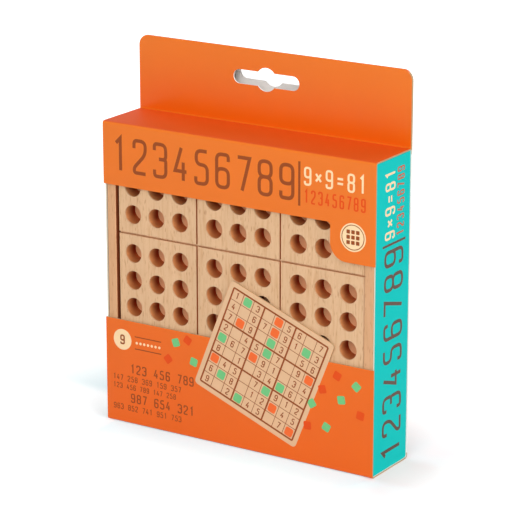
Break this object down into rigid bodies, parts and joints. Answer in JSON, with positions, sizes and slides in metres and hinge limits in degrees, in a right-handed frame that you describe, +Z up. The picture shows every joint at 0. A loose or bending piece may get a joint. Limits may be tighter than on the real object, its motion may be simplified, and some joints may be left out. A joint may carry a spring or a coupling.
{
  "type": "boxed wooden sudoku board",
  "caption": "Wooden sudoku peg board in a card tray that slides out of a wrapped window sleeve with a hang tab.",
  "frame": {"origin": "middle of the sleeve's foot, on the surface that it stands on", "axes": "+Z up to the hang tab, +X to the right of a reader of the front, +Y to the back"},
  "size_m": [0.132, 0.0338, 0.1641],
  "materials": {
    "sleeve_card": "satin printed orange card",
    "tray_card": "satin printed turquoise card",
    "panel_wood": "sanded raw beech",
    "rail_wood": "sanded raw beech, a little redder",
    "base_wood": "plain plywood",
    "green_peg": "green paint on wood",
    "orange_peg": "orange paint on wood"
  },
  "bodies": {
    "sleeve": {"sleeve": "sleeve_card"},
    "tray": {"tray": "tray_card", "base_board": "base_wood", "left_rail": "rail_wood", "right_rail": "rail_wood", "top_rail": "rail_wood", "bottom_rail": "rail_wood", "peg_panel": "panel_wood", "peg_green_1": "green_peg", "peg_green_2": "green_peg", "peg_green_3": "green_peg", "peg_green_4": "green_peg", "peg_green_5": "green_peg", "peg_green_6": "green_peg", "peg_green_7": "green_peg", "peg_green_8": "green_peg", "peg_green_9": "green_peg", "peg_orange_1": "orange_peg", "peg_orange_2": "orange_peg", "peg_orange_3": "orange_peg", "peg_orange_4": "orange_peg", "peg_orange_5": "orange_peg", "peg_orange_6": "orange_peg", "peg_orange_7": "orange_peg", "peg_orange_8": "orange_peg", "peg_orange_9": "orange_peg"}
  },
  "joints": [
    {"name": "tray_slide", "type": "slide", "parent": "sleeve", "child": "tray", "axis": [1, 0, 0], "range_m": [-0.12, 0.12]}
  ]
}
